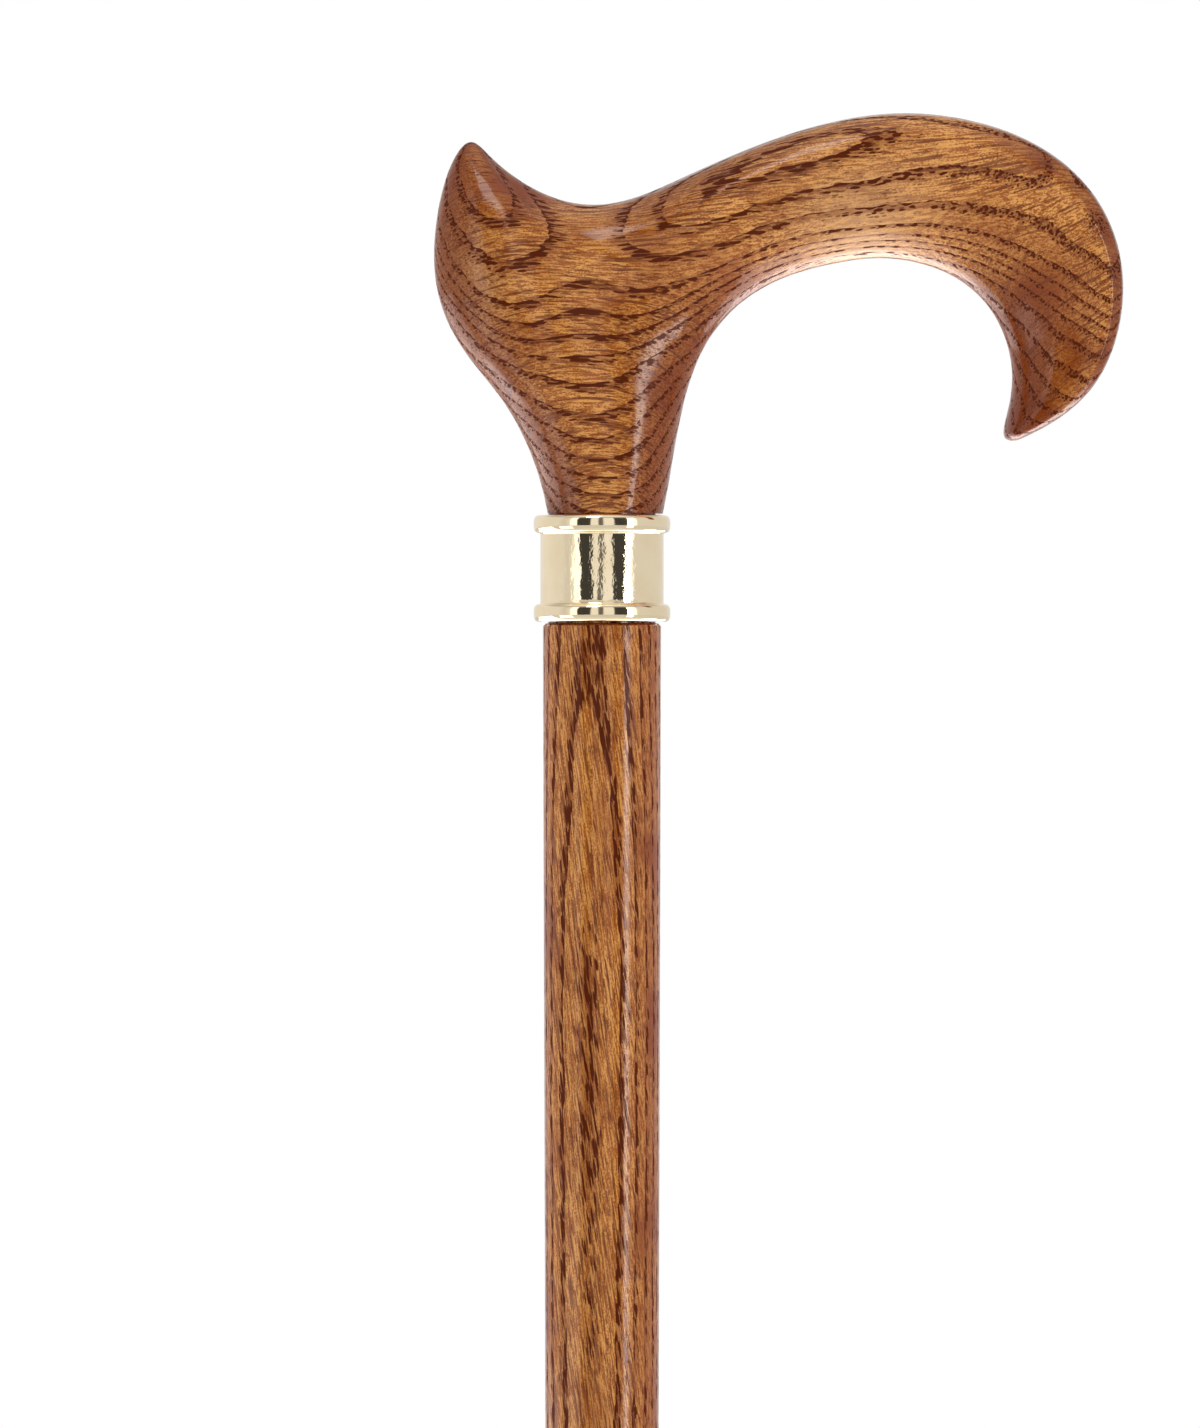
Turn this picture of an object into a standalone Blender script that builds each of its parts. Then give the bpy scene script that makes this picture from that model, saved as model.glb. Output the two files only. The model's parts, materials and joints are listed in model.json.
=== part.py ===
"""Wooden walking cane with a carved derby handle, a brass collar and a rubber ferrule.

Metres, +Z up. The origin is the centre of the ferrule's tread, on the shaft's axis.
+X points along the handle to its nose. The handle is alike on both sides of Y = 0.
"""

import math

import bmesh
import bpy
import numpy as np

# Whole cane
CANE_LENGTH = 0.914
GAP = 0.0003

# Shaft, a plain taper
SHAFT_TOP_DIAMETER = 0.0220
SHAFT_TIP_DIAMETER = 0.0170
SHOULDER_CHAMFER = 0.0005
TIP_CHAMFER = 0.0010

# Collar, one brass casting with a bead at each end
COLLAR_HEIGHT = 0.0198
COLLAR_BAND_DIAMETER = 0.0229
COLLAR_WALL = 0.00115
COLLAR_BEAD_RISE = 0.00115
COLLAR_BEAD_HEIGHT = 0.0031
COLLAR_FILLET = 0.0004

# Screw that joins the handle to the shaft inside the collar
SCREW_LENGTH = 0.080
SCREW_DIAMETER = 0.0080
SCREW_THREAD_DEPTH = 0.0012
SCREW_SHANK_LENGTH = 0.012
SCREW_PITCH = 0.0032
SCREW_POINT_LENGTH = 0.009
SCREW_POINT_DIAMETER = 0.0009
DRILL_POINT_DEPTH = 0.0020
SPIGOT_ROOT_DEPTH = 0.0050

# Rubber ferrule and the steel disc in its socket
SOCKET_DEPTH = 0.0300
FERRULE_WALL = 0.0038
TREAD_THICKNESS = 0.0120
TREAD_DIAMETER = 0.0360
TREAD_EDGE_ROUND = 0.0012
TREAD_EDGE_HEIGHT = 0.0045
TREAD_GROOVE_DEPTH = 0.0012
TREAD_GROOVE_WIDTH = 0.0020
TREAD_RING_WIDTH = 0.0032
TREAD_BUTTON_DIAMETER = 0.0100
FLARE_HEIGHT = 0.0150
FLARE_STEPS = 6
MOUTH_BEAD_HEIGHT = 0.0034
MOUTH_BEAD_RISE = 0.0010
RIB_HEIGHT = 0.0012
RIB_RISE = 0.0006
RIB_COUNT = 3
RIB_SPACING = 0.0030
WASHER_THICKNESS = 0.0015
WASHER_CHAMFER = 0.0003

# Handle. The neck's round foot stands on the collar, a little forward of the shaft's axis.
NECK_DIAMETER = 0.0215
NECK_OFFSET = 0.0006

# The handle is a row of cuts, from the neck's foot round the heel, horn, saddle and grip to
# the nose. Each cut runs from the handle's outer edge to its inner edge, under the grip:
# outer x and height, inner x and height, half thickness towards the outer edge, in the middle
# and towards the inner edge, squareness of the outer and inner corners (2 is round), and the
# point that a cut which fans out into the horn bends towards. Heights are above the neck's foot.
HANDLE_CUTS = (
    (-0.0113, 0.0054, 0.0124, 0.0054, 0.0112, 0.0112, 0.0112, 2.0, 2.0, None),
    (-0.0139, 0.0128, 0.0131, 0.0096, 0.0117, 0.0117, 0.0115, 2.0, 2.1, None),
    (-0.0186, 0.0213, 0.0138, 0.0136, 0.0119, 0.0121, 0.0117, 2.0, 2.2, None),
    (-0.0248, 0.0289, 0.0145, 0.0170, 0.0117, 0.0124, 0.0119, 2.1, 2.3, (-0.0045, 0.0243)),
    (-0.0299, 0.0381, 0.0152, 0.0202, 0.0112, 0.0126, 0.0121, 2.1, 2.3, (-0.0075, 0.0318)),
    (-0.0314, 0.0485, 0.0160, 0.0232, 0.0105, 0.0125, 0.0123, 2.2, 2.3, (-0.0100, 0.0385)),
    (-0.0300, 0.0592, 0.0171, 0.0264, 0.0096, 0.0120, 0.0125, 2.2, 2.3, (-0.0128, 0.0440)),
    (-0.0274, 0.0664, 0.0184, 0.0295, 0.0082, 0.0114, 0.0126, 2.1, 2.3, (-0.0155, 0.0478)),
    (-0.0243, 0.0694, 0.0200, 0.0324, 0.0056, 0.0106, 0.0127, 2.0, 2.3, (-0.0164, 0.0500)),
    (-0.0209, 0.0665, 0.0220, 0.0351, 0.0048, 0.0100, 0.0126, 2.0, 2.3, (-0.0148, 0.0508)),
    (-0.0152, 0.0618, 0.0243, 0.0377, 0.0054, 0.0100, 0.0121, 2.0, 2.3, (-0.0110, 0.0497)),
    (-0.0065, 0.0578, 0.0273, 0.0402, 0.0074, 0.0105, 0.0113, 2.1, 2.3, (-0.0040, 0.0484)),
    (+0.0040, 0.0579, 0.0312, 0.0426, 0.0095, 0.0114, 0.0106, 2.3, 2.3, (+0.0055, 0.0486)),
    (+0.0160, 0.0629, 0.0363, 0.0447, 0.0115, 0.0125, 0.0101, 2.7, 2.3, (+0.0190, 0.0520)),
    (+0.0300, 0.0689, 0.0420, 0.0462, 0.0130, 0.0133, 0.0098, 3.3, 2.3, None),
    (+0.0430, 0.0728, 0.0484, 0.0473, 0.0138, 0.0138, 0.0098, 3.7, 2.3, None),
    (+0.0560, 0.0744, 0.0546, 0.0473, 0.0140, 0.0138, 0.0098, 3.9, 2.3, None),
    (+0.0697, 0.0727, 0.0607, 0.0460, 0.0139, 0.0134, 0.0095, 4.1, 2.3, None),
    (+0.0817, 0.0679, 0.0664, 0.0434, 0.0137, 0.0127, 0.0090, 4.4, 2.3, None),
    (+0.0908, 0.0599, 0.0713, 0.0391, 0.0134, 0.0119, 0.0084, 4.8, 2.3, None),
    (+0.0959, 0.0493, 0.0745, 0.0336, 0.0131, 0.0111, 0.0077, 5.2, 2.3, None),
    (+0.0965, 0.0371, 0.0760, 0.0279, 0.0126, 0.0104, 0.0071, 5.2, 2.3, None),
    (+0.0927, 0.0255, 0.0760, 0.0226, 0.0117, 0.0095, 0.0065, 4.6, 2.3, None),
    (+0.0858, 0.0182, 0.0751, 0.0182, 0.0101, 0.0083, 0.0058, 3.8, 2.3, None),
    (+0.0794, 0.0146, 0.0745, 0.0153, 0.0077, 0.0066, 0.0050, 3.0, 2.3, None),
    (+0.0768, 0.0134, 0.0749, 0.0136, 0.0040, 0.0038, 0.0034, 2.5, 2.3, None),
)
CUT_POINTS = 20

# A smoothed cage settles at this share of each point and of the points beside it
CAGE_OWN_SHARE = 4 / 6
CAGE_BESIDE_SHARE = 1 / 6

# Fineness of the round pieces
ROUND_SEGMENTS = 48
BEAD_STEPS = 7
EDGE_STEPS = 3
SCREW_STEPS_PER_TURN = 12
SMOOTH_ANGLE = math.radians(35)

# Places worked out from the sizes
HANDLE_RISE = max(cut[1] for cut in HANDLE_CUTS)
NECK_FOOT_Z = CANE_LENGTH - HANDLE_RISE
COLLAR_TOP_Z = NECK_FOOT_Z - GAP
COLLAR_BOTTOM_Z = COLLAR_TOP_Z - COLLAR_HEIGHT
JOINT_Z = COLLAR_TOP_Z - COLLAR_HEIGHT / 2
COLLAR_BORE_RADIUS = COLLAR_BAND_DIAMETER / 2 - COLLAR_WALL
SPIGOT_RADIUS = COLLAR_BORE_RADIUS - GAP
SCREW_CORE_RADIUS = SCREW_DIAMETER / 2 - SCREW_THREAD_DEPTH
SCREW_SHANK_RADIUS = (SCREW_DIAMETER / 2 + SCREW_CORE_RADIUS) / 2
BORE_RADIUS = SCREW_DIAMETER / 2 + GAP
BORE_REACH = SCREW_LENGTH / 2 + GAP
SHOULDER_Z = COLLAR_BOTTOM_Z - GAP
SOCKET_FLOOR_Z = TREAD_THICKNESS
SOCKET_MOUTH_Z = SOCKET_FLOOR_Z + SOCKET_DEPTH
WASHER_Z = SOCKET_FLOOR_Z + GAP
SHAFT_TIP_Z = WASHER_Z + WASHER_THICKNESS + GAP


def shaft_radius(z):
    """Radius of the tapered shaft at a height."""
    share = (z - SHAFT_TIP_Z) / (SHOULDER_Z - SHAFT_TIP_Z)
    return (SHAFT_TIP_DIAMETER + (SHAFT_TOP_DIAMETER - SHAFT_TIP_DIAMETER) * share) / 2


SOCKET_RADIUS = shaft_radius(SOCKET_MOUTH_Z) + GAP
FERRULE_RADIUS = SOCKET_RADIUS + FERRULE_WALL


def finish(name, mesh_builder, material, location=(0, 0, 0), parent=None):
    """Turn a bmesh into a named object with its own material."""
    bmesh.ops.recalc_face_normals(mesh_builder, faces=mesh_builder.faces)
    mesh = bpy.data.meshes.new(name)
    mesh_builder.to_mesh(mesh)
    mesh_builder.free()
    mesh.shade_smooth()
    mesh.set_sharp_from_angle(angle=SMOOTH_ANGLE)
    obj = bpy.data.objects.new(name, mesh)
    obj.location = location
    obj.parent = parent
    if material is not None:
        mesh.materials.append(material)
    bpy.context.scene.collection.objects.link(obj)
    return obj


def principled(name, colour, roughness, metallic=0.0):
    """A plain Principled material."""
    material = bpy.data.materials.new(name)
    material.use_nodes = True
    shader = material.node_tree.nodes["Principled BSDF"]
    shader.inputs["Base Color"].default_value = (*colour, 1.0)
    shader.inputs["Roughness"].default_value = roughness
    shader.inputs["Metallic"].default_value = metallic
    return material


def arc(centre_r, centre_z, radius, start, end, steps):
    """Points of an arc in the profile plane, angles in degrees from +r towards +z."""
    angles = np.radians(np.linspace(start, end, steps + 1))
    return [(centre_r + radius * math.cos(a), centre_z + radius * math.sin(a)) for a in angles]


def turned(profile, closed=False, segments=ROUND_SEGMENTS):
    """Spin a profile of (radius, height) points about Z."""
    shape = bmesh.new()
    points = [shape.verts.new((r, 0, z)) for r, z in profile]
    pairs = list(zip(points, points[1:]))
    if closed:
        pairs.append((points[-1], points[0]))
    edges = [shape.edges.new(pair) for pair in pairs]
    bmesh.ops.spin(shape, geom=points + edges, cent=(0, 0, 0), axis=(0, 0, 1), dvec=(0, 0, 0),
                   angle=2 * math.pi, steps=segments, use_merge=True)
    bmesh.ops.remove_doubles(shape, verts=shape.verts, dist=1e-6)
    return shape


def guide(name, shape, location=(0, 0, 0)):
    """An object that only shapes another one through a Boolean."""
    obj = finish(name, shape, None, location)
    obj.hide_render = True
    obj.display_type = "WIRE"
    return obj


def boolean(target, tool, operation):
    """Join a guide to an object or cut it out."""
    modifier = target.modifiers.new(tool.name, "BOOLEAN")
    modifier.operation = operation
    modifier.solver = "EXACT"
    modifier.object = tool


def section(outer, inner, thickness, corners, bend):
    """Closed ring of points of one cut, starting at the outer edge, front side first."""
    outer = np.array(outer)
    inner = np.array(inner)
    hub = (outer + inner) / 2 if bend is None else np.array(bend)
    at_outer, at_middle, at_inner = thickness
    ring = []
    for index in range(CUT_POINTS):
        angle = 2 * math.pi * index / CUT_POINTS
        corner = corners[0] if math.cos(angle) > 0 else corners[1]
        along = math.copysign(abs(math.cos(angle)) ** (2 / corner), math.cos(angle))
        across = math.copysign(abs(math.sin(angle)) ** (2 / corner), math.sin(angle))
        t = (1 + along) / 2
        place = (1 - t) ** 2 * inner + 2 * t * (1 - t) * hub + t ** 2 * outer
        half = (at_outer * t * (2 * t - 1) + at_middle * 4 * t * (1 - t)
                + at_inner * (1 - t) * (1 - 2 * t))
        ring.append((place[0], -across * half, place[1]))
    return ring


def spread(count):
    """How much each point of a smoothed row settles towards the points beside it."""
    own = np.diag([CAGE_OWN_SHARE] * count)
    beside = np.diag([CAGE_BESIDE_SHARE] * (count - 1), 1)
    return own + beside + beside.T


def through_points(rings):
    """Control cage whose subdivided surface passes through the given rings of points."""
    along = spread(rings.shape[0])
    along[0] = np.eye(rings.shape[0])[0]
    along[-1] = np.eye(rings.shape[0])[-1]
    around = spread(rings.shape[1])
    around[0, -1] = CAGE_BESIDE_SHARE
    around[-1, 0] = CAGE_BESIDE_SHARE
    return np.einsum("ri,cj,ijk->rck", np.linalg.inv(along), np.linalg.inv(around), rings)


def handle_cage():
    """Cage of the carved handle, its neck's foot at height 0."""
    radius = NECK_DIAMETER / 2
    left = (NECK_OFFSET - radius, 0)
    right = (NECK_OFFSET + radius, 0)
    rings = [section(left, right, (radius, radius, radius), (2, 2), None)]
    for cut in HANDLE_CUTS:
        rings.append(section(cut[0:2], cut[2:4], cut[4:7], cut[7:9], cut[9]))
    cage = through_points(np.array(rings))
    shape = bmesh.new()
    crease = shape.edges.layers.float.new("crease_edge")
    loops = [[shape.verts.new(point) for point in ring] for ring in cage]
    for lower, upper in zip(loops, loops[1:]):
        for index in range(CUT_POINTS):
            after = (index + 1) % CUT_POINTS
            shape.faces.new((lower[index], lower[after], upper[after], upper[index]))
    foot_face = shape.faces.new(loops[0])
    shape.faces.new(loops[-1])
    for edge in foot_face.edges:
        edge[crease] = 1.0
    return shape


def make_handle(wood, parent):
    """Carved handle with the spigot that enters the collar and the hole for the screw."""
    handle = finish("handle", handle_cage(), wood, (0, 0, NECK_FOOT_Z), parent)
    smooth = handle.modifiers.new("smooth", "SUBSURF")
    smooth.levels = 1
    smooth.render_levels = 1
    spigot_foot = JOINT_Z + GAP / 2
    spigot_top = NECK_FOOT_Z + SPIGOT_ROOT_DEPTH
    spigot = turned([
        (0, spigot_foot),
        (SPIGOT_RADIUS, spigot_foot),
        (SPIGOT_RADIUS, spigot_top),
        (0, spigot_top),
    ])
    boolean(handle, guide("handle_spigot", spigot), "UNION")
    drill = turned([
        (0, COLLAR_BOTTOM_Z),
        (BORE_RADIUS, COLLAR_BOTTOM_Z),
        (BORE_RADIUS, JOINT_Z + BORE_REACH),
        (0, JOINT_Z + BORE_REACH + DRILL_POINT_DEPTH),
    ])
    boolean(handle, guide("handle_drill", drill), "DIFFERENCE")
    return handle


def make_shaft(wood, parent):
    """Tapered shaft with a spigot and a screw hole at its top."""
    tip = shaft_radius(SHAFT_TIP_Z)
    top = shaft_radius(SHOULDER_Z)
    spigot_end = JOINT_Z - GAP / 2
    profile = [
        (0, SHAFT_TIP_Z),
        (tip - TIP_CHAMFER, SHAFT_TIP_Z),
        (tip, SHAFT_TIP_Z + TIP_CHAMFER),
        (top, SHOULDER_Z - SHOULDER_CHAMFER),
        (top - SHOULDER_CHAMFER, SHOULDER_Z),
        (SPIGOT_RADIUS, SHOULDER_Z),
        (SPIGOT_RADIUS, spigot_end),
        (BORE_RADIUS, spigot_end),
        (BORE_RADIUS, JOINT_Z - BORE_REACH),
        (0, JOINT_Z - BORE_REACH - DRILL_POINT_DEPTH),
    ]
    return finish("shaft", turned(profile), wood, (0, 0, 0), parent)


def make_collar(brass, parent):
    """Brass collar, the same from both ends."""
    band = COLLAR_BAND_DIAMETER / 2
    bead = COLLAR_BEAD_HEIGHT / 2
    bead_centre = band + COLLAR_BEAD_RISE - bead
    bead_end = math.degrees(math.acos((band + COLLAR_FILLET / 2 - bead_centre) / bead))
    lower_half = [(COLLAR_BORE_RADIUS, 0)]
    lower_half += arc(bead_centre, bead, bead, -90, bead_end, BEAD_STEPS)
    lower_half += [(band, COLLAR_BEAD_HEIGHT + COLLAR_FILLET)]
    upper_half = [(r, COLLAR_HEIGHT - z) for r, z in reversed(lower_half)]
    shape = turned(lower_half + upper_half, closed=True)
    return finish("collar", shape, brass, (0, 0, COLLAR_BOTTOM_Z), parent)


def make_dowel_screw(steel, parent):
    """Double-ended wood screw: one thread, pointed at both ends, with a plain middle."""
    half = SCREW_LENGTH / 2
    turn = SCREW_STEPS_PER_TURN
    threaded = SCREW_LENGTH - 2 * SCREW_PITCH
    steps = round(threaded / SCREW_PITCH * turn)
    start = -(steps + turn) / turn * SCREW_PITCH / 2

    def radius(z, full):
        plain = min(1.0, max(0.0, (abs(z) - SCREW_SHANK_LENGTH / 2) / SCREW_PITCH))
        thick = SCREW_SHANK_RADIUS + (full - SCREW_SHANK_RADIUS) * plain
        point = min(1.0, max(0.0, (half - abs(z)) / SCREW_POINT_LENGTH))
        tip = SCREW_POINT_DIAMETER / 2
        return tip + (thick - tip) * point

    shape = bmesh.new()

    def helix(last, lift, full):
        line = []
        for index in range(last + 1):
            angle = 2 * math.pi * index / turn
            z = start + SCREW_PITCH * index / turn + lift
            r = radius(z, full)
            line.append(shape.verts.new((r * math.cos(angle), r * math.sin(angle), z)))
        return line

    root = helix(steps + turn, 0, SCREW_CORE_RADIUS)
    crest = helix(steps, SCREW_PITCH / 2, SCREW_DIAMETER / 2)
    for index in range(steps):
        shape.faces.new((root[index], root[index + 1], crest[index + 1], crest[index]))
        upper = index + turn
        shape.faces.new((crest[index], crest[index + 1], root[upper + 1], root[upper]))
    ends = ((-half, root[:turn + 1] + [crest[0]]), (half, root[steps:] + [crest[steps]]))
    for height, rim in ends:
        apex = shape.verts.new((0, 0, height))
        for first, second in zip(rim, rim[1:] + rim[:1]):
            shape.faces.new((first, second, apex))
    return finish("dowel_screw", shape, steel, (0, 0, JOINT_Z), parent)


def tread_profile():
    """Profile of the tread from its centre outwards: a flat button, then grooves and rings."""
    tread = TREAD_DIAMETER / 2
    profile = [(0, 0)]
    land_end = TREAD_BUTTON_DIAMETER / 2
    while land_end + TREAD_GROOVE_WIDTH + TREAD_RING_WIDTH < tread:
        groove_end = land_end + TREAD_GROOVE_WIDTH
        profile += [
            (land_end, 0),
            (land_end, TREAD_GROOVE_DEPTH),
            (groove_end, TREAD_GROOVE_DEPTH),
            (groove_end, 0),
        ]
        land_end = groove_end + TREAD_RING_WIDTH
    return profile + arc(tread - TREAD_EDGE_ROUND, TREAD_EDGE_ROUND, TREAD_EDGE_ROUND, -90, 0, EDGE_STEPS)


def ferrule_side():
    """Profile of the ferrule's side: the flare, the ribs and the rounded bead at the mouth."""
    tread = TREAD_DIAMETER / 2
    narrow = FERRULE_RADIUS
    profile = []
    for share in np.linspace(0, 1, FLARE_STEPS + 1):
        ease = (1 - math.cos(math.pi * share)) / 2
        profile.append((tread + (narrow - tread) * ease, TREAD_EDGE_HEIGHT + share * FLARE_HEIGHT))
    bead_foot = SOCKET_MOUTH_Z - MOUTH_BEAD_HEIGHT
    for index in range(RIB_COUNT, 0, -1):
        middle = bead_foot - index * RIB_SPACING
        profile += [
            (narrow, middle - RIB_HEIGHT / 2),
            (narrow + RIB_RISE, middle - RIB_HEIGHT / 4),
            (narrow + RIB_RISE, middle + RIB_HEIGHT / 4),
            (narrow, middle + RIB_HEIGHT / 2),
        ]
    profile.append((narrow, bead_foot))
    profile += arc(narrow, bead_foot + MOUTH_BEAD_RISE, MOUTH_BEAD_RISE, -60, 0, EDGE_STEPS - 1)
    profile += arc(narrow, SOCKET_MOUTH_Z - MOUTH_BEAD_RISE, MOUTH_BEAD_RISE, 0, 90, EDGE_STEPS + 1)
    return profile


def make_ferrule(rubber, parent):
    """Rubber ferrule with the socket that grips the shaft's tip."""
    inside = [
        (SOCKET_RADIUS, SOCKET_MOUTH_Z),
        (SOCKET_RADIUS, SOCKET_FLOOR_Z),
        (0, SOCKET_FLOOR_Z),
    ]
    return finish("ferrule", turned(tread_profile() + ferrule_side() + inside), rubber, (0, 0, 0), parent)


def make_washer(steel, parent):
    """Steel disc that keeps the shaft's tip from cutting through the rubber."""
    radius = SHAFT_TIP_DIAMETER / 2
    profile = [
        (0, 0),
        (radius - WASHER_CHAMFER, 0),
        (radius, WASHER_CHAMFER),
        (radius, WASHER_THICKNESS - WASHER_CHAMFER),
        (radius - WASHER_CHAMFER, WASHER_THICKNESS),
        (0, WASHER_THICKNESS),
    ]
    return finish("ferrule_washer", turned(profile), steel, (0, 0, WASHER_Z), parent)


def main():
    for obj in list(bpy.data.objects):
        bpy.data.objects.remove(obj, do_unlink=True)
    frame = bpy.data.objects.new("cane_frame", None)
    slide = bpy.data.objects.new("ferrule_slide", None)
    slide.parent = frame
    for empty in (frame, slide):
        bpy.context.scene.collection.objects.link(empty)
    make_handle(principled("handle_wood", (0.42, 0.20, 0.07), 0.22), frame)
    make_shaft(principled("shaft_wood", (0.38, 0.17, 0.06), 0.22), frame)
    make_collar(principled("collar_brass", (0.83, 0.73, 0.48), 0.12, 1.0), frame)
    make_dowel_screw(principled("screw_steel", (0.55, 0.55, 0.56), 0.35, 1.0), frame)
    make_ferrule(principled("ferrule_rubber", (0.03, 0.03, 0.03), 0.7), slide)
    make_washer(principled("washer_steel", (0.55, 0.55, 0.56), 0.4, 1.0), slide)


main()
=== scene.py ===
"""The looks of a lacquered walking cane with a carved derby handle, a plain brass collar,
a tapered shaft and a rubber ferrule, around the fixed frame of the solid model.

The wood is one solid block to the textures: its growth rings, pores, rays and fibres are
formulas in millimetres, so they run through the handle and the shaft from every side.
"""
import json
import math
from collections import namedtuple

import bpy
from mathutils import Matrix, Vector

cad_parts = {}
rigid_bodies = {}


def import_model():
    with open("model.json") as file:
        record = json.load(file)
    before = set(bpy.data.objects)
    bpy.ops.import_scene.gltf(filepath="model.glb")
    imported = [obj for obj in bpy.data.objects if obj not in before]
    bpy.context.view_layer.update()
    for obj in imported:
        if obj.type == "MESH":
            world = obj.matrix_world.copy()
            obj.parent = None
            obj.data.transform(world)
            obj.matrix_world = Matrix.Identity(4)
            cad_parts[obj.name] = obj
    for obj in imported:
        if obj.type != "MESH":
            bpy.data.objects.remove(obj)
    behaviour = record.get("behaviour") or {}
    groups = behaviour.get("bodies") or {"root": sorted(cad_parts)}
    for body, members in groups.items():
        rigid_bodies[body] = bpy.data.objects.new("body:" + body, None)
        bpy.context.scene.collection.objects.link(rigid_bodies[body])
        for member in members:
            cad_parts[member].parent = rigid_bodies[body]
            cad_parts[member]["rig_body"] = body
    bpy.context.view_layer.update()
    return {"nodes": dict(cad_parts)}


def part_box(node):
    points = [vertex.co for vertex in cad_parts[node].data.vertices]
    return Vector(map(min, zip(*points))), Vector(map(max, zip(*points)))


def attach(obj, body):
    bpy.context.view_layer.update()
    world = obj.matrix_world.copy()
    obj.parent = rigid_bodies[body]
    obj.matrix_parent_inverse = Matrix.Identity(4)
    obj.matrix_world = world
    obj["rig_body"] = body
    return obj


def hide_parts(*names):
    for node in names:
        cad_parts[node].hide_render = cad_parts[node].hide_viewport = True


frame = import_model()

MM_PER_METRE = 1000.0

# Camera, in metres
CAMERA_PLACE = (-0.00037, -2.0, 0.8024)
CAMERA_SENSOR = 36.0
VIEW_HEIGHT = 0.26518
CAMERA_LENS = CAMERA_SENSOR * -CAMERA_PLACE[1] / VIEW_HEIGHT

# Floor, in metres: it lies clear below the ferrule when that is pulled off
FLOOR_Z = -0.045
FLOOR_RADIUS = 9.0
FLOOR_SIDES = 96
FLOOR_FADE = (0.12, 0.5)
FLOOR_COLOUR = (0.9, 0.9, 0.9, 1.0)

# Meshes
MERGE_DISTANCE = 0.00001
SHARP_EDGE = math.radians(38)
HANDLE_SHARP_EDGE = math.radians(65)
SMOOTH_ANGLE = math.radians(50)

# Handle wood, in millimetres. The heart of the tree ran along X in front of the handle
# and above it, and curved gently: its place is a cubic in x / 50.
HEART_SPAN = 50.0
HEART_Y = (-111.8, -10.2, -17.6, 11.4)
HEART_Z = (956.5, -11.0, -7.2, 6.6)
FIRST_RING_RADIUS = 122.8
HANDLE_RING_WIDTH = 2.64
HANDLE_FIBRE_AXIS = (1, 0, 0)
HANDLE_RAY_AXIS = (0.0, 0.64, 0.76)
# The years around this ring were slow, and their rings are narrow
SLOW_RING, SLOW_SHARE, SLOW_REACH = 3.95, 0.74, 1.86
# From this x towards the nose the grain bends upwards and the pores are cut short, both
# with the cube of the distance
NOSE_START = 30.0
NOSE_BEND = 0.000035
NOSE_SHORTENING = 0.0006

# Spots on the handle, each with its height, its middle x and z and its reach.
# Swellings of the rings where twigs began, their height in rings
SWELLINGS = (
    (2.45, -3.8, 894.5, 15.1), (1.01, -4.6, 875.5, 10.6),
    (1.19, 15.1, 859.9, 9.9), (1.29, 31.3, 888.1, 16.9), (1.6, 88.0, 901.0, 6.0),
)
# Where it drank more stain. The spots over the top of the saddle are painted shade: they darken that
# up-facing top, standing in for less light falling on it
STAINS_AND_SHADE = (
    (0.8, 83.0, 882.0, 7.0), (0.95, 76.0, 855.0, 9.0), (0.4, 87.0, 866.0, 9.0),
    (0.5, 77.0, 874.0, 8.0), (0.8, 81.0, 904.0, 3.0),
    (0.7, -25.0, 905.0, 10.0), (0.4, -17.0, 897.0, 5.0), (0.35, -8.0, 900.0, 9.0),
    (0.35, 9.0, 883.0, 4.0), (0.35, 7.6, 892.6, 4.5), (0.2, 13.0, 896.0, 6.0),
    (0.15, 4.3, 885.0, 6.0), (0.5, 23.0, 883.0, 7.0),
    (0.22, 8.0, 852.0, 16.0), (0.28, 16.0, 876.0, 9.0), (0.25, -3.0, 875.0, 8.0),
)
# Where it stayed paler
PALE_SPOTS = ((0.55, 48.0, 892.0, 13.0), (0.3, -23.0, 882.0, 7.0))
# Where it has more pores, or fewer
PORE_SPOTS = (
    (0.07, 2.0, 873.0, 10.0), (-0.09, 74.0, 901.0, 15.0), (-0.07, 48.0, 892.0, 13.0),
    (-0.35, 0.5, 890.5, 3.5),
)

# Shaft wood, in millimetres. Its rings are almost flat, seen 12 degrees to the left.
SHAFT_RING_FACING = (-0.208, -0.978)
SHAFT_RING_WIDTH = 2.1
SHAFT_FIBRE_AXIS = (0, 0, 1)
SHAFT_RAY_AXIS = (-SHAFT_RING_FACING[1], SHAFT_RING_FACING[0], 0.0)
SHAFT_GRAIN_SLOPE = 0.14
# The rings rise towards the collar, which gives the flame there, and wave further down
SHAFT_RISE = (750.0, 838.0)
SHAFT_FIRST_RING = (9.45, 11.6)
SHAFT_WAVE_TOP = 700.0
SHAFT_WAVE_HEIGHT = 0.7
SHAFT_WAVE_LENGTH = 230.0
# One year dips under the middle of the face below the flame: depth in rings, middle x and
# z, reach across and its stretch along
SHAFT_DIP = (-0.25, -2.3, 722.0, 3.0, 14.0)
# Painted shade: the shaft is stained darker on its flanks than on the faces where the rings lie flat
# to the surface, front and back, which stands in for light falling more from the front
SHAFT_FLAT_GRAIN = (0.3, 0.9)
SHAFT_FLANK_SHADE = (0.67, 0.12)

# Collar, in millimetres
COLLAR_BAND = 11.45
COLLAR_BORE = 10.3
COLLAR_CHAMFER = 0.15
COLLAR_BEAD_HEIGHT = 3.3
COLLAR_BEAD_RISE = 1.25
# A bead's section is an oval with flattened sides: 1 would be a plain oval, 0 a box. It
# goes round from straight down to this many degrees above level.
BEAD_FLATNESS = 0.68
BEAD_END = 78
BEAD_STEPS = 20
# From the bead into the band: places as rise over the band and height above the bead
COLLAR_FILLET = ((0.2, 0.03), (0.06, 0.12), (0.0, 0.3))
COLLAR_STEPS = 128
# Where the foot and the top of the plain band run into the beads
BAND_FOOT = (822.5, 824.0)
BAND_TOP = (835.5, 837.0)


# Node helpers

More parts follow.
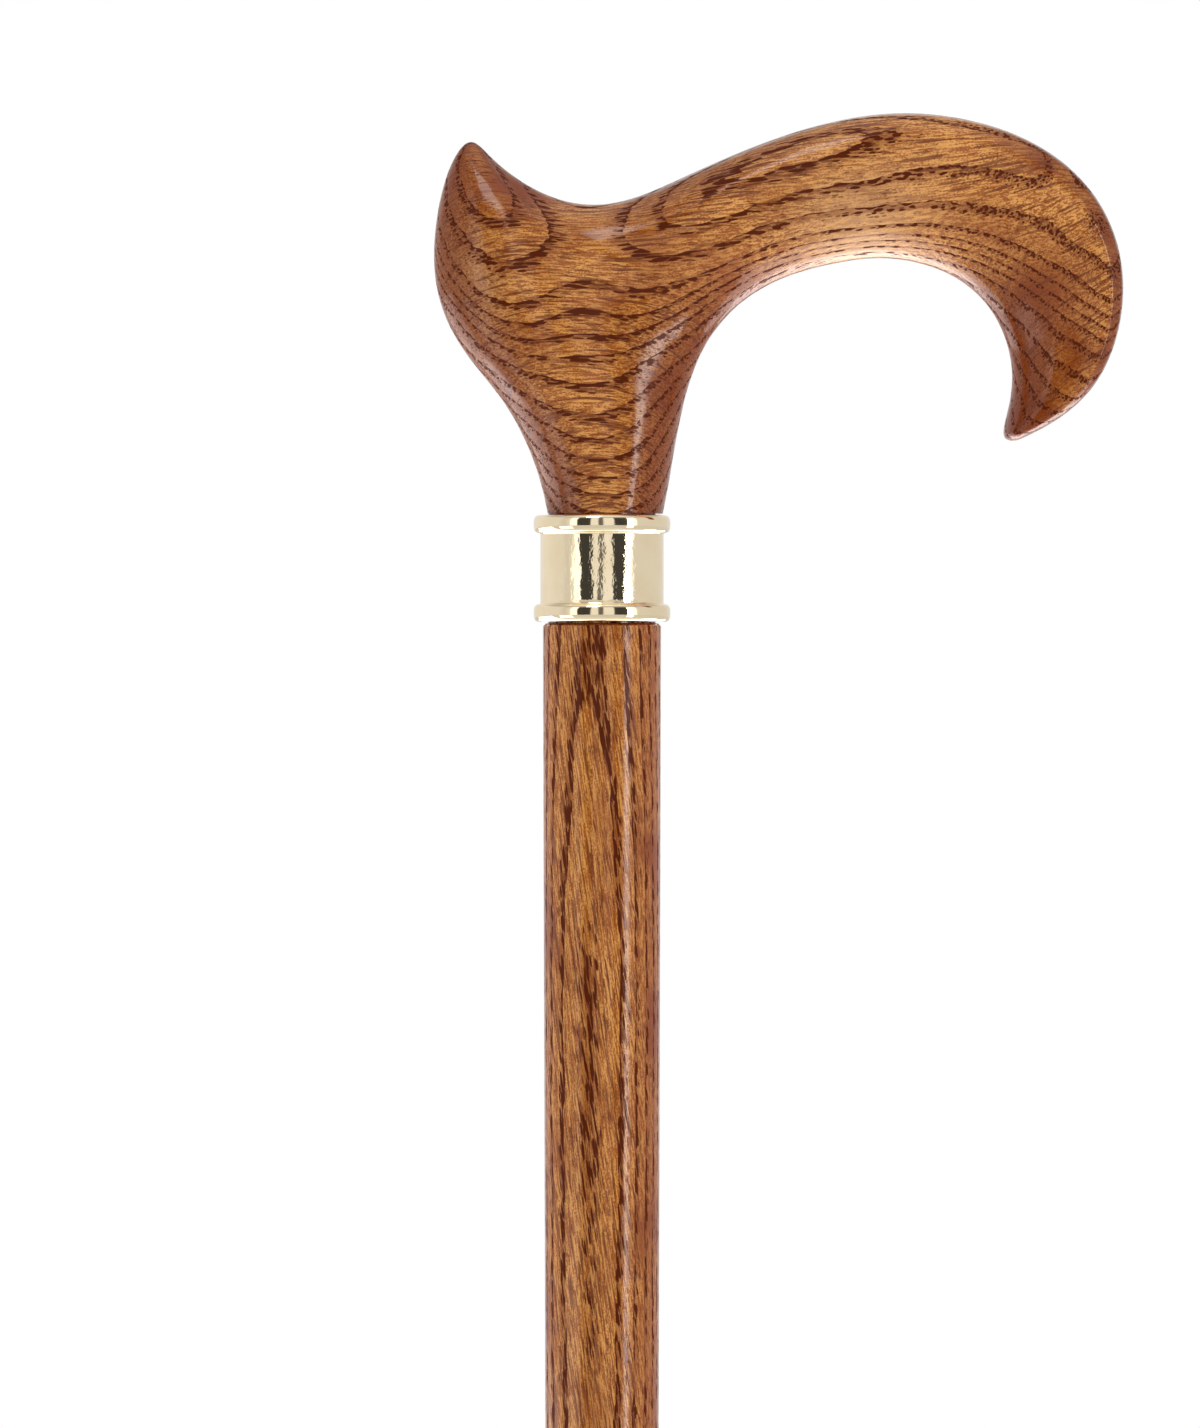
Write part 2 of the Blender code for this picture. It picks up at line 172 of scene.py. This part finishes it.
NOISE_MEAN = 0.5
# A colour Mix node keeps its two colours and its result in these sockets
MIX_FIRST, MIX_SECOND, MIX_RESULT = 6, 7, 2


class Term:
    """A number that varies over a surface. A formula written with it becomes Math nodes."""

    def __init__(self, tree, socket):
        self.tree = tree
        self.socket = socket

    def apply(self, operation, *others):
        node = self.tree.nodes.new("ShaderNodeMath")
        node.operation = operation
        for slot, value in zip(node.inputs, (self, *others)):
            feed(self.tree, slot, value)
        return Term(self.tree, node.outputs[0])

    def __add__(self, other):
        return self.apply("ADD", other)

    def __sub__(self, other):
        return self.apply("SUBTRACT", other)

    def __rsub__(self, other):
        return (self * -1) + other

    def __mul__(self, other):
        return self.apply("MULTIPLY", other)

    def __truediv__(self, other):
        return self.apply("DIVIDE", other)

    __radd__ = __add__
    __rmul__ = __mul__

    def smooth(self, start, end, low=0.0, high=1.0):
        """Goes smoothly from low at start to high at end, and stays there."""
        node = self.tree.nodes.new("ShaderNodeMapRange")
        node.interpolation_type = "SMOOTHSTEP"
        feed(self.tree, node.inputs["Value"], self)
        for name, value in zip(("From Min", "From Max", "To Min", "To Max"), (start, end, low, high)):
            feed(self.tree, node.inputs[name], value)
        return Term(self.tree, node.outputs["Result"])


def feed(tree, slot, value):
    """Gives a socket a term, another socket or a plain value."""
    if isinstance(value, Term):
        tree.links.new(value.socket, slot)
    elif isinstance(value, bpy.types.NodeSocket):
        tree.links.new(value, slot)
    else:
        slot.default_value = value


def split_vector(tree, vector):
    """The x, y and z of a vector socket."""
    split = tree.nodes.new("ShaderNodeSeparateXYZ")
    feed(tree, split.inputs[0], vector)
    return [Term(tree, output) for output in split.outputs]


def root_of_squares(a, b):
    return (a * a + b * b).apply("SQRT")


def bell(*offsets, reach):
    """A bump that is 1 where all the offsets are 0 and fades over the reach."""
    total = offsets[0] * offsets[0]
    for offset in offsets[1:]:
        total = total + offset * offset
    return (total / -(reach * reach)).apply("EXPONENT")


def spots(x, z, places):
    """A bump for each place, given as its height, its middle x and z and its reach."""
    return [bell(x - middle_x, z - middle_z, reach=reach) * height
            for height, middle_x, middle_z, reach in places]


def cubic(t, factors):
    a, b, c, d = factors
    return ((t * d + c) * t + b) * t + a


def show_camera(tree, output_kind, lit, shown, share=1.0):
    """Ends a tree with one shader for the light and another, by a share, for the camera."""
    path = tree.nodes.new("ShaderNodeLightPath")
    chosen = tree.nodes.new("ShaderNodeMixShader")
    output = tree.nodes.new(output_kind)
    feed(tree, chosen.inputs[0], Term(tree, path.outputs["Is Camera Ray"]) * share)
    feed(tree, chosen.inputs[1], lit.outputs[0])
    feed(tree, chosen.inputs[2], shown.outputs[0])
    feed(tree, output.inputs[0], chosen.outputs[0])


class Finish:
    """A material on a Principled shader, with its pattern in millimetres of the object."""

    def __init__(self, name, **plain):
        self.material = bpy.data.materials.new(name)
        self.material.use_nodes = True
        self.tree = self.material.node_tree
        self.shader = self.tree.nodes["Principled BSDF"]
        for socket, value in plain.items():
            self.set(socket.replace("_", " "), value)

    def set(self, name, value):
        feed(self.tree, self.shader.inputs[name], value)

    def node(self, kind, **settings):
        made = self.tree.nodes.new(kind)
        for name, value in settings.items():
            setattr(made, name, value)
        return made

    def place(self):
        """The point's x, y and z in millimetres."""
        coordinates = self.node("ShaderNodeTexCoord")
        scaled = self.node("ShaderNodeVectorMath", operation="SCALE")
        feed(self.tree, scaled.inputs[0], coordinates.outputs["Object"])
        feed(self.tree, scaled.inputs["Scale"], MM_PER_METRE)
        return split_vector(self.tree, scaled.outputs[0])

    def pattern(self, kind, place, lump):
        """A texture node at a place in millimetres, with lumps of the given three sizes."""
        made = self.node(kind)
        joined = self.node("ShaderNodeCombineXYZ")
        for slot, way, size in zip(joined.inputs, place, lump):
            feed(self.tree, slot, way / size)
        feed(self.tree, made.inputs["Vector"], joined.outputs[0])
        feed(self.tree, made.inputs["Scale"], 1.0)
        return made

    def noise(self, place, lump, detail=0.0, roughness=0.5):
        """Smooth noise around its mean."""
        made = self.pattern("ShaderNodeTexNoise", place, lump)
        feed(self.tree, made.inputs["Detail"], detail)
        feed(self.tree, made.inputs["Roughness"], roughness)
        return Term(self.tree, made.outputs["Fac"])

    def cells(self, place, lump):
        """Distance to the nearest of some scattered points, one for each lump."""
        made = self.pattern("ShaderNodeTexVoronoi", place, lump)
        return Term(self.tree, made.outputs["Distance"])

    def facing(self, axis):
        """How squarely the surface faces along an axis: 1 if fully, 0 if it runs along it."""
        normal = self.node("ShaderNodeNewGeometry")
        dot = self.node("ShaderNodeVectorMath", operation="DOT_PRODUCT")
        feed(self.tree, dot.inputs[0], normal.outputs["Normal"])
        feed(self.tree, dot.inputs[1], axis)
        return Term(self.tree, dot.outputs["Value"]).apply("ABSOLUTE")

    def mix(self, share, first, second):
        """The first colour, or the second where the share is 1."""
        made = self.node("ShaderNodeMix", data_type="RGBA")
        feed(self.tree, made.inputs["Factor"], share)
        for slot, colour in ((MIX_FIRST, first), (MIX_SECOND, second)):
            opaque = (*colour, 1.0) if isinstance(colour, tuple) else colour
            feed(self.tree, made.inputs[slot], opaque)
        return made.outputs[MIX_RESULT]

    def bump(self, height, depth):
        """The normal of a relief, in which a height of 1 stands the depth in millimetres
        proud."""
        made = self.node("ShaderNodeBump")
        feed(self.tree, made.inputs["Height"], height)
        feed(self.tree, made.inputs["Distance"], depth / MM_PER_METRE)
        feed(self.tree, made.inputs["Strength"], 1.0)
        return made.outputs["Normal"]


# Wood. A range of four numbers is a start and an end and the values there, and one of two
# goes from 0 to 1. Those in years are shares of one year's growth.

LATE_WOOD = (0.345, 0.097, 0.0155)
GOLDEN_WOOD = (0.735, 0.338, 0.087)
EARLY_WOOD = (0.215, 0.048, 0.0075)
# Stain, which on the shaft's flanks and over the saddle's top is painted shade
STAIN_AND_SHADE_WOOD = (0.235, 0.048, 0.0050)
PALE_WOOD = (0.640, 0.370, 0.180)
RAY_BROWN = (0.140, 0.026, 0.0040)
PORE_BROWN = (0.088, 0.0150, 0.0033)
END_GRAIN = (0.165, 0.026, 0.0030)

# Sizes of the grain's lumps along, out from and across the heart, in millimetres
FIBRE_LUMP = (5.0, 0.5, 0.3)
STREAK_LUMP = (3.5, 0.8, 0.28)
SPECKLE_LUMP = (0.4, 0.25, 0.25)
BLOTCH_LUMP = (16.0, 9.0, 9.0)
RAY_LUMP = (10.0, 5.0, 0.45)
PORE_LUMP = (4.0, 0.9, 0.50)
SMALL_PORE_LUMP = (3.2, 0.6, 0.38)
PORE_PATCH_LUMP = (6.0, 2.0, 2.0)
RING_WAVE_LUMP = (18.0, 8.0, 5.0)
RING_RAG_LUMP = (4.0, 2.0, 0.6)

# How far the rings wave and are ragged, in rings
RING_WAVE = 0.3
RING_RAG = 0.16

# Early wood begins sharply and ends softly, in years
EARLY_START = (0.0, 0.03)
EARLY_END = (0.20, 0.52, 1.0, 0.0)
EARLY_COVER = (0.05, 0.45, 0.55, 0.25)

# Pores: their radius over the year as a share of a lump, the patches with smaller ones,
# how soft their edges are, how ragged the large ones and how dark the small ones
PORE_RADIUS = (0.03, 0.14, 0.72, 0.55)
SMALL_PORE_RADIUS = (0.0, 0.9, 0.52, 0.34)
PORE_PATCHES = (0.35, 0.6, 0.5, 1.0)
PORE_EDGE = (0.0, 0.10)
SMALL_PORE_EDGE = (0.0, 0.12)
PORE_RAG = 0.4
SMALL_PORE_COVER = 0.62
# The lacquer is thinner over the pores
PORE_LACQUER = (0.0, 1.0, 1.0, 0.2)

# Rays show where they are cut on edge
RAY_EDGE = (0.58, 0.63)
RAY_ON_EDGE = (0.70, 0.95, 1.0, 0.0)
RAY_COVER = 0.75

# Tones between the rings
FIBRE_TONE = 0.65
GOLDEN_RANGE = (0.43, 0.57)
STREAK_EDGE = (0.54, 0.62)
STREAK_COVER = 0.42
BLOTCH_EDGE = (0.45, 0.75)
BLOTCH_STAIN = 0.45
END_GRAIN_RANGE = (0.05, 0.75)
END_GRAIN_COVER = 0.8

# Relief of the surface, in millimetres, and each part's share of it
WOOD_RELIEF = 0.03
PORE_RELIEF = -1.0
RAY_RELIEF = -0.3
FIBRE_RELIEF = 0.4

# How a block of wood grew: a point's growth ring, its place along, out from and across the
# heart in millimetres, its place along the pores, which is wound up where they are cut
# short, and its spots that drank more stain or carry painted shade, stayed paler or have more pores
Block = namedtuple("Block", "ring heart pore_way stains pale_spots pore_spots")


def handle_block(finish, x, y, z):
    t = x / HEART_SPAN
    from_y = y - cubic(t, HEART_Y)
    from_z = z - cubic(t, HEART_Z)
    radius = root_of_squares(from_y, from_z)
    ring = sum(spots(x, z, SWELLINGS), (radius - FIRST_RING_RADIUS) / HANDLE_RING_WIDTH)
    over = ring - SLOW_RING
    ring = ring + over * bell(over, reach=SLOW_REACH) * SLOW_SHARE
    rise = (x - NOSE_START).apply("MAXIMUM", 0.0)
    bent = rise * rise * rise
    _, ray_y, ray_z = HANDLE_RAY_AXIS
    across = y * ray_y + z * ray_z - bent * NOSE_BEND
    return Block(
        ring, (x, radius, across), x + bent * NOSE_SHORTENING,
        spots(x, z, STAINS_AND_SHADE), spots(x, z, PALE_SPOTS), spots(x, z, PORE_SPOTS))


def shaft_block(finish, x, y, z):
    facing_x, facing_y = SHAFT_RING_FACING
    depth = x * facing_x + y * facing_y
    below = (z - SHAFT_WAVE_TOP).apply("MINIMUM", 0.0)
    swing = (below * (math.tau / SHAFT_WAVE_LENGTH)).apply("COSINE")
    first = z.smooth(*SHAFT_RISE, *SHAFT_FIRST_RING) + (1.0 - swing) * SHAFT_WAVE_HEIGHT
    height, middle_x, middle_z, reach, stretch = SHAFT_DIP
    dip = bell(x - middle_x, (z - middle_z) / stretch, reach=reach) * height
    ring = (first - depth) / SHAFT_RING_WIDTH + dip
    across = x * -facing_y + y * facing_x + z * SHAFT_GRAIN_SLOPE
    # Painted shade: the flanks are stained darker than the faces where the rings lie flat, standing
    # in for light that falls more from the front
    flat_grain = finish.facing((facing_x, facing_y, 0.0))
    stain_and_shade = flat_grain.smooth(*SHAFT_FLAT_GRAIN, *SHAFT_FLANK_SHADE)
    return Block(ring, (z, depth, across), z, [stain_and_shade], [], [])


def wood_pores(finish, block, year, early, fibre):
    """How much the pores cover: large ones in the early wood, small ones all year."""
    _, outward, across = block.heart
    place = (block.pore_way, outward, across)
    radius = sum(block.pore_spots, year.smooth(*PORE_RADIUS))
    small_radius = sum(block.pore_spots, year.smooth(*SMALL_PORE_RADIUS))
    large = finish.cells(place, PORE_LUMP) + (fibre - NOISE_MEAN) * PORE_RAG
    small = finish.cells(place, SMALL_PORE_LUMP)
    patchy = finish.noise(block.heart, PORE_PATCH_LUMP).smooth(*PORE_PATCHES)
    cover = (early * radius - large).smooth(*PORE_EDGE)
    small_cover = (small_radius * patchy - small).smooth(*SMALL_PORE_EDGE)
    return cover.apply("MAXIMUM", small_cover * SMALL_PORE_COVER)


def wood_tone(finish, block, fibre):
    """The colour between the rings: fibres, streaks, pale spots, stain and painted shade."""
    speckle = finish.noise(block.heart, SPECKLE_LUMP, detail=1.0)
    streaks = finish.noise(block.heart, STREAK_LUMP, detail=1.0).smooth(*STREAK_EDGE)
    blotch = finish.noise(block.heart, BLOTCH_LUMP, detail=1.0).smooth(*BLOTCH_EDGE)
    tone = fibre * FIBRE_TONE + speckle * (1.0 - FIBRE_TONE)
    colour = finish.mix(tone.smooth(*GOLDEN_RANGE), LATE_WOOD, GOLDEN_WOOD)
    colour = finish.mix(streaks * STREAK_COVER, colour, EARLY_WOOD)
    for spot in block.pale_spots:
        colour = finish.mix(spot, colour, PALE_WOOD)
    stain_and_shade = sum(block.stains, blotch * BLOTCH_STAIN)
    return finish.mix(stain_and_shade.apply("MINIMUM", 1.0), colour, STAIN_AND_SHADE_WOOD)


def wood(name, block_of, fibre_axis, ray_axis):
    """Stained ring-porous hardwood under a gloss lacquer. block_of gives the block for the
    finish and a point. The fibres follow fibre_axis, and the rays lie square to ray_axis."""
    finish = Finish(
        name, Roughness=0.4, Specular_IOR_Level=0.0, Coat_IOR=1.41, Coat_Roughness=0.11)
    block = block_of(finish, *finish.place())
    _, outward, across = block.heart
    fibre = finish.noise(block.heart, FIBRE_LUMP, detail=2.0, roughness=0.6)
    waves = finish.noise(block.heart, RING_WAVE_LUMP) - NOISE_MEAN
    rags = finish.noise((block.pore_way, outward, across), RING_RAG_LUMP) - NOISE_MEAN
    year = (block.ring + waves * RING_WAVE + rags * RING_RAG).apply("FRACT")
    early = year.smooth(*EARLY_START) * year.smooth(*EARLY_END)
    pores = wood_pores(finish, block, year, early, fibre)
    sheets = finish.noise(block.heart, RAY_LUMP, detail=1.0)
    rays = sheets.smooth(*RAY_EDGE) * finish.facing(ray_axis).smooth(*RAY_ON_EDGE)
    end_grain = finish.facing(fibre_axis).smooth(*END_GRAIN_RANGE)

    colour = wood_tone(finish, block, fibre)
    colour = finish.mix(end_grain * END_GRAIN_COVER, colour, END_GRAIN)
    colour = finish.mix(early * year.smooth(*EARLY_COVER), colour, EARLY_WOOD)
    colour = finish.mix(rays * RAY_COVER, colour, RAY_BROWN)
    colour = finish.mix(pores, colour, PORE_BROWN)
    finish.set("Base Color", colour)
    finish.set("Coat Weight", pores.smooth(*PORE_LACQUER))
    relief = pores * PORE_RELIEF + rays * RAY_RELIEF + fibre * FIBRE_RELIEF
    normal = finish.bump(relief, WOOD_RELIEF)
    finish.set("Normal", normal)
    finish.set("Coat Normal", normal)
    return finish.material


# Brass. Lumps and relief are in millimetres. The beads keep only a share of the ripple.

BRIGHT_BRASS = (0.99, 0.835, 0.585)
DULL_BRASS = (0.95, 0.785, 0.52)
TARNISH_LUMP = (5.0, 5.0, 5.0)
TARNISH_EDGE = (0.35, 0.75)
CAST_WAVE_LUMP = (2.2, 2.2, 5.0)
CAST_RIPPLE_LUMP = (0.6, 0.6, 1.0)
CAST_WAVE = 2.5
CAST_RELIEF = 0.035
BEAD_RIPPLE = 0.12


def brass():
    """Polished cast brass. The band between the beads kept the ripple of the casting."""
    finish = Finish("collar_brass", Metallic=1.0, Roughness=0.06)
    place = finish.place()
    z = place[2]
    tarnish = finish.noise(place, TARNISH_LUMP, detail=2.0).smooth(*TARNISH_EDGE)
    finish.set("Base Color", finish.mix(tarnish, BRIGHT_BRASS, DULL_BRASS))
    on_band = z.smooth(*BAND_FOOT) * z.smooth(*BAND_TOP, 1.0, 0.0)
    wave = finish.noise(place, CAST_WAVE_LUMP)
    ripple = finish.noise(place, CAST_RIPPLE_LUMP, detail=2.0)
    cast = (wave * CAST_WAVE + ripple) * on_band.smooth(0.0, 1.0, BEAD_RIPPLE, 1.0)
    finish.set("Normal", finish.bump(cast, CAST_RELIEF))
    return finish.material


# Zinc, with its lumps and relief in millimetres

DARK_ZINC = (0.46, 0.46, 0.47)
LIGHT_ZINC = (0.62, 0.62, 0.64)
SPANGLE_LUMP = (1.2, 1.2, 1.2)
ZINC_ROUGHNESS = (0.3, 0.7, 0.28, 0.42)
ZINC_RELIEF = 0.01


def zinc(name):
    """Zinc plate, with the faint spangle of its grains."""
    finish = Finish(name, Metallic=1.0)
    spangle = finish.noise(finish.place(), SPANGLE_LUMP, detail=2.0)
    finish.set("Base Color", finish.mix(spangle, DARK_ZINC, LIGHT_ZINC))
    finish.set("Roughness", spangle.smooth(*ZINC_ROUGHNESS))
    finish.set("Normal", finish.bump(spangle, ZINC_RELIEF))
    return finish.material


# Rubber, with its lumps, worn foot and relief in millimetres

BLACK_RUBBER = (0.012, 0.012, 0.013)
DUSTY_RUBBER = (0.048, 0.046, 0.043)
RUBBER_GRAIN_LUMP = (0.35, 0.35, 0.35)
DUST_LUMP = (6.0, 6.0, 6.0)
DUST_EDGE = (0.45, 0.75)
DUST_COVER = 0.35
WORN_FOOT = (0.0, 5.0, 1.0, 0.0)
WORN_COVER = 0.4
RUBBER_ROUGHNESS = (0.3, 0.7, 0.52, 0.72)
RUBBER_RELIEF = 0.03


def rubber():
    """Moulded black rubber, dusty in places and worn at the foot."""
    finish = Finish("ferrule_rubber", Specular_IOR_Level=0.4)
    place = finish.place()
    grain = finish.noise(place, RUBBER_GRAIN_LUMP, detail=2.0)
    dust = finish.noise(place, DUST_LUMP, detail=3.0).smooth(*DUST_EDGE)
    worn = place[2].smooth(*WORN_FOOT)
    finish.set("Base Color", finish.mix(
        dust * DUST_COVER + worn * WORN_COVER, BLACK_RUBBER, DUSTY_RUBBER))
    finish.set("Roughness", grain.smooth(*RUBBER_ROUGHNESS))
    finish.set("Normal", finish.bump(grain, RUBBER_RELIEF))
    return finish.material


# Pieces

def only(piece):
    """Selects one object alone and makes it active."""
    for other in bpy.context.selected_objects:
        other.select_set(False)
    piece.select_set(True)
    bpy.context.view_layer.objects.active = piece


def new_piece(node, mesh, material):
    piece = bpy.data.objects.new(node + "_dressed", mesh)
    bpy.context.scene.collection.objects.link(piece)
    only(piece)
    mesh.materials.clear()
    mesh.materials.append(material)
    return piece


def put_in_place(piece, node):
    """Smooths a finished piece and lets it stand in for its CAD node."""
    bpy.ops.object.shade_smooth_by_angle(angle=SMOOTH_ANGLE)
    weighted = piece.modifiers.new("Weighted", "WEIGHTED_NORMAL")
    weighted.keep_sharp = True
    bpy.ops.object.modifier_apply(modifier=weighted.name)
    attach(piece, frame["nodes"][node]["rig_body"])
    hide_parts(node)


def dressed(node, material, levels, sharp=SHARP_EDGE):
    """A finer mesh over a CAD node: its doubles merged, its triangles paired and its faces
    divided, with the edges above the sharp angle kept."""
    piece = new_piece(node, frame["nodes"][node].data.copy(), material)
    bpy.ops.mesh.customdata_custom_splitnormals_clear()
    bpy.ops.object.mode_set(mode="EDIT")
    bpy.ops.mesh.select_mode(type="EDGE")
    bpy.ops.mesh.select_all(action="SELECT")
    bpy.ops.mesh.remove_doubles(threshold=MERGE_DISTANCE)
    bpy.ops.mesh.tris_convert_to_quads()
    bpy.ops.mesh.select_all(action="DESELECT")
    bpy.ops.mesh.edges_select_sharp(sharpness=sharp)
    bpy.ops.transform.edge_crease(value=1.0)
    bpy.ops.object.mode_set(mode="OBJECT")
    finer = piece.modifiers.new("Finer", "SUBSURF")
    finer.levels = finer.render_levels = levels
    bpy.ops.object.modifier_apply(modifier=finer.name)
    put_in_place(piece, node)


def collar_foot():
    """The foot of the collar's section, from its bore round the lower bead to the band:
    places as radius and height above the collar's foot, in millimetres."""
    half = COLLAR_BEAD_HEIGHT / 2
    profile = [(COLLAR_BORE + COLLAR_CHAMFER, 0.0)]
    for step in range(BEAD_STEPS + 1):
        angle = math.radians(-90 + (90 + BEAD_END) * step / BEAD_STEPS)
        out = math.cos(angle) ** BEAD_FLATNESS if step else 0.0
        up = math.copysign(abs(math.sin(angle)) ** BEAD_FLATNESS, angle)
        profile.append((COLLAR_BAND + COLLAR_BEAD_RISE * out, half + half * up))
    for rise, above in COLLAR_FILLET:
        profile.append((COLLAR_BAND + rise, COLLAR_BEAD_HEIGHT + above))
    return profile


def turned_collar():
    """The collar with the flat-faced beads of the real casting, turned from its section."""
    low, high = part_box("collar")
    height = (high[2] - low[2]) * MM_PER_METRE
    lower = collar_foot()
    upper = [(radius, height - above) for radius, above in reversed(lower)]
    bore = [(COLLAR_BORE, height - COLLAR_CHAMFER), (COLLAR_BORE, COLLAR_CHAMFER)]
    section = lower + upper + bore
    mesh = bpy.data.meshes.new("collar_dressed")
    mesh.from_pydata(
        [(radius / MM_PER_METRE, 0.0, low[2] + above / MM_PER_METRE) for radius, above in section],
        [(index, (index + 1) % len(section)) for index in range(len(section))], [])
    piece = new_piece("collar", mesh, brass())
    turn = piece.modifiers.new("Turn", "SCREW")
    turn.steps = turn.render_steps = COLLAR_STEPS
    turn.use_merge_vertices = True
    turn.use_normal_calculate = True
    bpy.ops.object.modifier_apply(modifier=turn.name)
    bpy.ops.object.mode_set(mode="EDIT")
    bpy.ops.mesh.select_all(action="SELECT")
    bpy.ops.mesh.remove_doubles(threshold=MERGE_DISTANCE)
    bpy.ops.mesh.normals_make_consistent(inside=False)
    bpy.ops.object.mode_set(mode="OBJECT")
    put_in_place(piece, "collar")


def make_pieces():
    handle_wood = wood("handle_wood", handle_block, HANDLE_FIBRE_AXIS, HANDLE_RAY_AXIS)
    dressed("handle", handle_wood, levels=2, sharp=HANDLE_SHARP_EDGE)
    shaft_wood = wood("shaft_wood", shaft_block, SHAFT_FIBRE_AXIS, SHAFT_RAY_AXIS)
    dressed("shaft", shaft_wood, levels=2)
    turned_collar()
    dressed("ferrule", rubber(), levels=1)
    for node, name in (("dowel_screw", "screw_steel"), ("ferrule_washer", "washer_steel")):
        keeper = frame["nodes"][node]
        keeper.data.materials.clear()
        keeper.data.materials.append(zinc(name))


# Studio

WHITE = (1.0, 1.0, 1.0, 1.0)

# Brightness of the room by direction, as degrees from the camera's side, + to the right
ROOM = (
    (-180, 0.82), (-130, 0.82), (-82, 0.77), (-66, 0.67),
    (-56, 0.80), (-54, 1.50), (-44, 1.50), (-42, 0.05), (-20, 0.05), (-18, 0.88), (-7, 0.88),
    (-5, 0.15), (1, 0.15), (4, 0.90), (20, 0.88), (22, 0.05), (44, 0.05),
    (46, 1.40), (60, 1.40), (63, 0.71), (130, 0.71), (180, 0.82),
)
# The colour ramp holds the room as shares of this
ROOM_FULL = 1.5
# The walls end between these heights, as the sine of a direction's slope, above and below.
# A plain wall follows them, and above that the ceiling begins, each with its brightness.
WALL_TOP = (0.45, 0.70)
CEILING_FOOT = (0.75, 0.90)
PLAIN_WALL = 0.50
CEILING = 1.0

# Each lamp's place and target in metres, its shape, its size in metres and its watts
LAMPS = {
    "overhead_softbox": ((-0.16, -0.46, 1.45), (0.0, 0.0, 0.89), "RECTANGLE", (0.24, 0.36), 1.25),
    "side_softbox": ((0.91, -0.78, 0.85), (0.0, 0.0, 0.85), "RECTANGLE", (0.22, 1.0), 4.2),
    "back_softbox": ((0.05, 0.75, 0.20), (0.05, 0.0, 0.87), "RECTANGLE", (1.3, 0.7), 6.5),
    "left_softbox": ((-1.2, 0.6, -0.03), (0.0, 0.0, 0.87), "RECTANGLE", (1.4, 1.4), 11.6),
    "low_softbox": ((-1.18, -0.55, 0.40), (0.0, 0.0, 0.87), "RECTANGLE", (0.6, 0.5), 1.2),
    "light_table": ((0.0, 0.55, -0.044), (0.0, 0.55, 1.0), "ELLIPSE", (3.0, 1.3), 25.0),
}


def light_room():
    """A world that is white to the camera and a studio of pale walls, dark flags and tall
    bright panels to everything else."""
    world = bpy.data.worlds.new("studio")
    bpy.context.scene.world = world
    world.use_nodes = True
    tree = world.node_tree
    tree.nodes.clear()
    direction = tree.nodes.new("ShaderNodeTexCoord")
    x, y, z = split_vector(tree, direction.outputs["Generated"])
    turn = x.apply("ARCTAN2", y * -1.0) / math.tau + 0.5
    ramp = tree.nodes.new("ShaderNodeValToRGB")
    ramp.color_ramp.interpolation = "EASE"
    stops = ramp.color_ramp.elements
    while len(stops) < len(ROOM):
        stops.new(0.5)
    for stop, (degrees, level) in zip(stops, ROOM):
        stop.position = degrees / 360 + 0.5
        stop.color = (*[level / ROOM_FULL] * 3, 1.0)
    feed(tree, ramp.inputs[0], turn)
    walls = Term(tree, ramp.outputs["Color"]) * ROOM_FULL
    plain = z.smooth(*CEILING_FOOT, PLAIN_WALL, CEILING)
    level = walls + (plain - walls) * z.apply("ABSOLUTE").smooth(*WALL_TOP)
    studio = tree.nodes.new("ShaderNodeBackground")
    feed(tree, studio.inputs["Color"], WHITE)
    feed(tree, studio.inputs["Strength"], level)
    backdrop = tree.nodes.new("ShaderNodeBackground")
    feed(tree, backdrop.inputs["Color"], WHITE)
    show_camera(tree, "ShaderNodeOutputWorld", studio, backdrop)


def make_lamps():
    """Area lamps, each of which shines from its place to its target."""
    for name, (place, target, shape, size, watts) in LAMPS.items():
        data = bpy.data.lights.new(name, "AREA")
        data.shape = shape
        data.size, data.size_y = size
        data.energy = watts
        lamp = bpy.data.objects.new(name, data)
        lamp.location = place
        lamp.rotation_euler = (Vector(target) - Vector(place)).to_track_quat("-Z", "Y").to_euler()
        bpy.context.scene.collection.objects.link(lamp)


def lay_floor():
    """A round pale floor that keeps the cane's shadow and fades to white further out."""
    bpy.ops.mesh.primitive_circle_add(
        vertices=FLOOR_SIDES, radius=FLOOR_RADIUS, fill_type="NGON", location=(0, 0, FLOOR_Z))
    floor = bpy.context.object
    floor.name = "floor"
    material = bpy.data.materials.new("floor")
    material.use_nodes = True
    tree = material.node_tree
    tree.nodes.clear()
    coordinates = tree.nodes.new("ShaderNodeTexCoord")
    x, y, _ = split_vector(tree, coordinates.outputs["Object"])
    paper = tree.nodes.new("ShaderNodeBsdfDiffuse")
    feed(tree, paper.inputs["Color"], FLOOR_COLOUR)
    glow = tree.nodes.new("ShaderNodeEmission")
    far = root_of_squares(x, y).smooth(*FLOOR_FADE)
    show_camera(tree, "ShaderNodeOutputMaterial", paper, glow, share=far)
    floor.data.materials.append(material)


def set_camera():
    data = bpy.data.cameras.new("camera")
    data.sensor_width = CAMERA_SENSOR
    data.lens = CAMERA_LENS
    camera = bpy.data.objects.new("camera", data)
    camera.location = CAMERA_PLACE
    camera.rotation_euler = (math.radians(90), 0.0, 0.0)
    bpy.context.scene.collection.objects.link(camera)
    bpy.context.scene.camera = camera


make_pieces()
light_room()
make_lamps()
lay_floor()
set_camera()
bpy.context.scene.view_settings.view_transform = "Standard"
